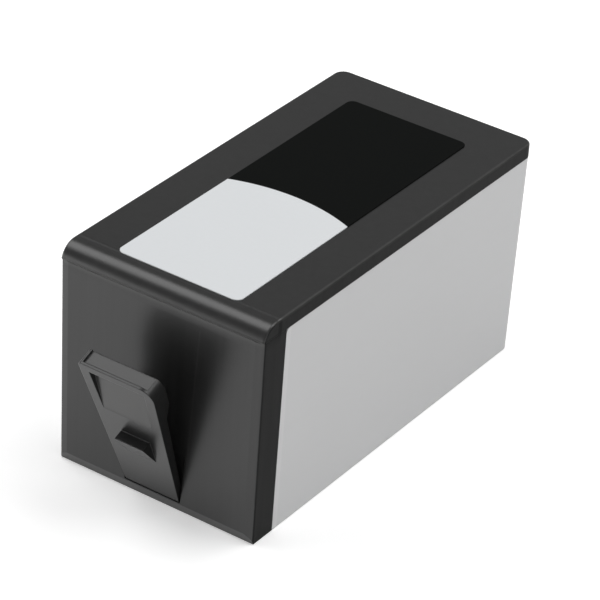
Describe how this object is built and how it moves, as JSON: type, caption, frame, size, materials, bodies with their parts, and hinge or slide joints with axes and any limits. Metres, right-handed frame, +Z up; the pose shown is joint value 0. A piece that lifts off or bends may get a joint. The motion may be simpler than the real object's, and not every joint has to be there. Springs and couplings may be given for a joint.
{
  "type": "inkjet ink cartridge",
  "caption": "Box-shaped inkjet ink cartridge with a light grey tank, a dark lid and front cover, a sprung finger latch and a base outlet.",
  "frame": {"origin": "centre of the flat base, under the middle of the body", "axes": "+Z up, -Y towards the latch at the front, +X to the right when facing the rear from the latch side"},
  "size_m": [0.033, 0.0751, 0.0341],
  "materials": {
    "dark_plastic": "satin charcoal moulding",
    "grey_plastic": "satin light grey moulding",
    "label_film": "printed film, front field white and rear field black",
    "vent_film": "thin sealing film",
    "foam": "ink-soaked open-cell foam",
    "felt": "pressed fibre felt",
    "screen_steel": "fine woven screen",
    "seal_rubber": "soft moulded ring",
    "board": "solder-masked circuit board",
    "gold": "gold-plated pads",
    "potting": "cured potting resin"
  },
  "bodies": {
    "cartridge": {"tank_body": "grey_plastic", "top_lid": "dark_plastic", "front_cover": "dark_plastic", "top_label": "label_film", "vent_film": "vent_film", "foam_fill_plug": "dark_plastic", "ink_fill_plug": "dark_plastic", "foam_block": "foam", "outlet_wick": "felt", "outlet_screen": "screen_steel", "outlet_seal": "seal_rubber", "chip_board": "board", "chip_contacts": "gold", "chip_potting": "potting"},
    "latch": {"release_latch": "dark_plastic"}
  },
  "joints": [
    {"name": "latch_press", "type": "hinge", "parent": "cartridge", "child": "latch", "pos_m": [-0.0003, -0.0319, 0.002], "axis": [-1, 0, 0], "range_deg": [0, 12], "stiffness_Nm_per_rad": 0.2}
  ]
}
